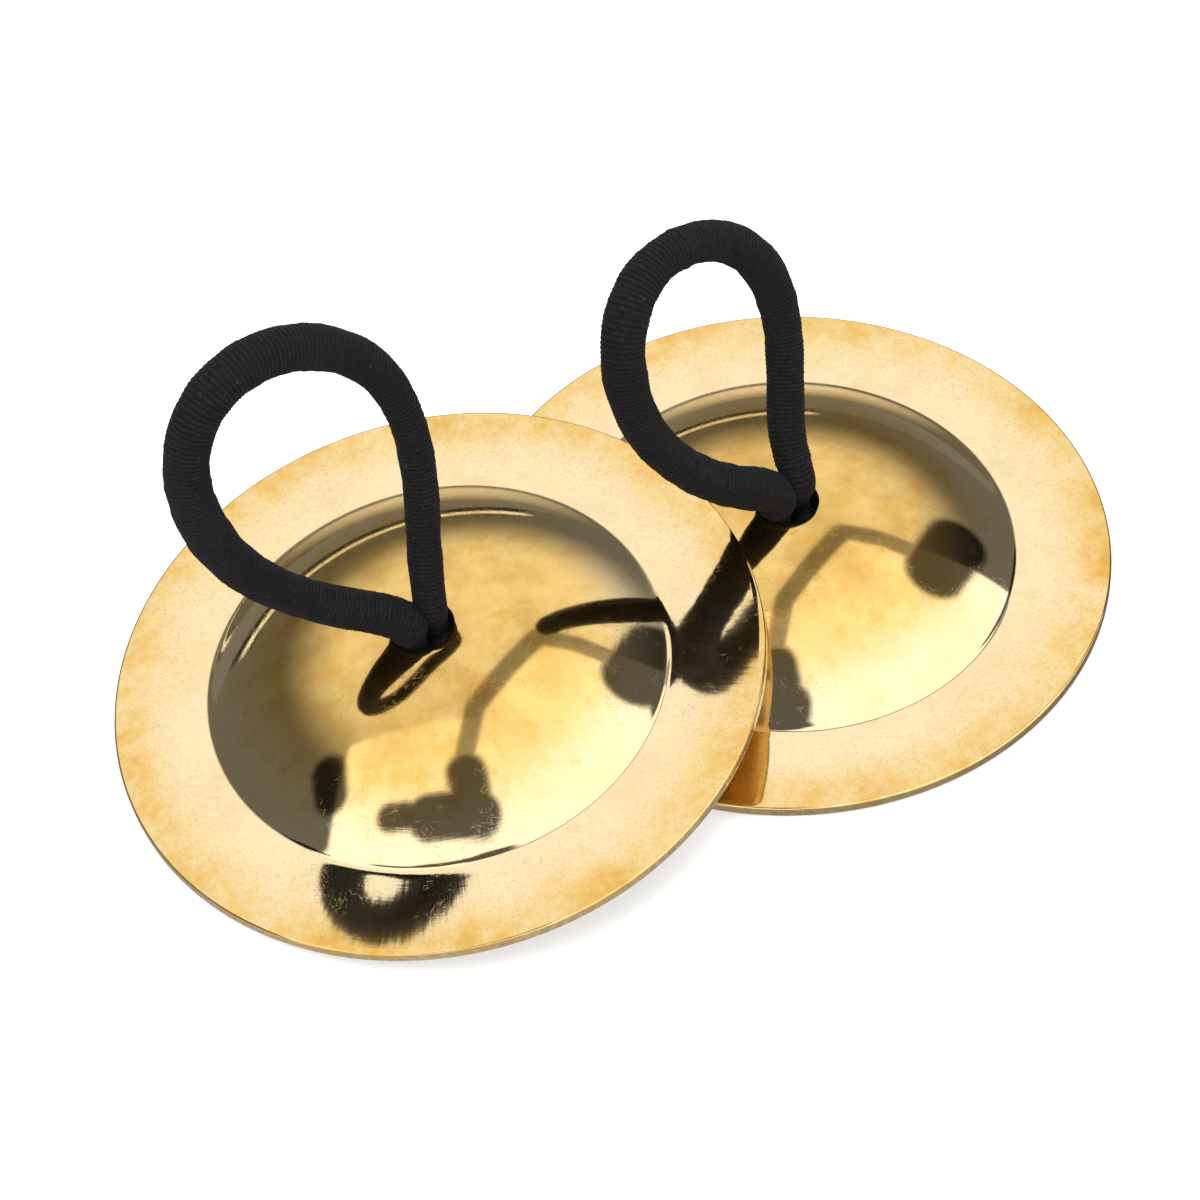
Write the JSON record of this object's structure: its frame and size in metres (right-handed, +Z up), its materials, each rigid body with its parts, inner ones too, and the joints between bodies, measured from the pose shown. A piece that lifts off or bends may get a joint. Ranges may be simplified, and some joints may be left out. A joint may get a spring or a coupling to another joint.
{
  "type": "finger cymbals",
  "caption": "Round spun-brass finger cymbals with flat rims and domed middles, each with a black elastic finger loop knotted through its crown hole; one leans on the other.",
  "frame": {"origin": "middle of the pair's outline, on the surface that it lies on", "axes": "+Z up, +X along the longer side of the pair from the leaning cymbal to the flat one, +Y towards the flat cymbal's far side"},
  "size_m": [0.0924, 0.0752, 0.0495],
  "materials": {
    "brass": "polished, with a mottled amber patina",
    "cord_cover": "matte woven textile",
    "knot_cord": "matte woven textile",
    "cord_core": "matte"
  },
  "bodies": {
    "back_cymbal": {"back_cymbal": "brass"},
    "back_knot": {"back_knot": "knot_cord"},
    "back_loop": {"back_loop_cover": "cord_cover", "back_loop_core": "cord_core"},
    "front_cymbal": {"front_cymbal": "brass"},
    "front_knot": {"front_knot": "knot_cord"},
    "front_loop": {"front_loop_cover": "cord_cover", "front_loop_core": "cord_core"}
  },
  "joints": [
    {"name": "front_lift", "type": "slide", "parent": "back_cymbal", "child": "front_cymbal", "axis": [-0.8523, -0.3956, 0.342], "range_m": [0, 0.06]},
    {"name": "back_knot_turn", "type": "hinge", "parent": "back_cymbal", "child": "back_knot", "pos_m": [0.01623, 0.00757, 0.0108], "axis": [0, 0, 1], "continuous": true},
    {"name": "back_loop_lean", "type": "hinge", "parent": "back_knot", "child": "back_loop", "pos_m": [0.01623, 0.00757, 0.0108], "axis": [0.891, 0.454, 0], "range_deg": [-30, 45], "stiffness_Nm_per_rad": 0.004},
    {"name": "front_knot_turn", "type": "hinge", "parent": "front_cymbal", "child": "front_knot", "pos_m": [-0.01777, -0.00809, 0.01479], "axis": [-0.1287, -0.0486, 0.9905], "continuous": true},
    {"name": "front_loop_lean", "type": "hinge", "parent": "front_knot", "child": "front_loop", "pos_m": [-0.01777, -0.00809, 0.01479], "axis": [0.9096, 0.3922, 0.1374], "range_deg": [-30, 45], "stiffness_Nm_per_rad": 0.004}
  ]
}
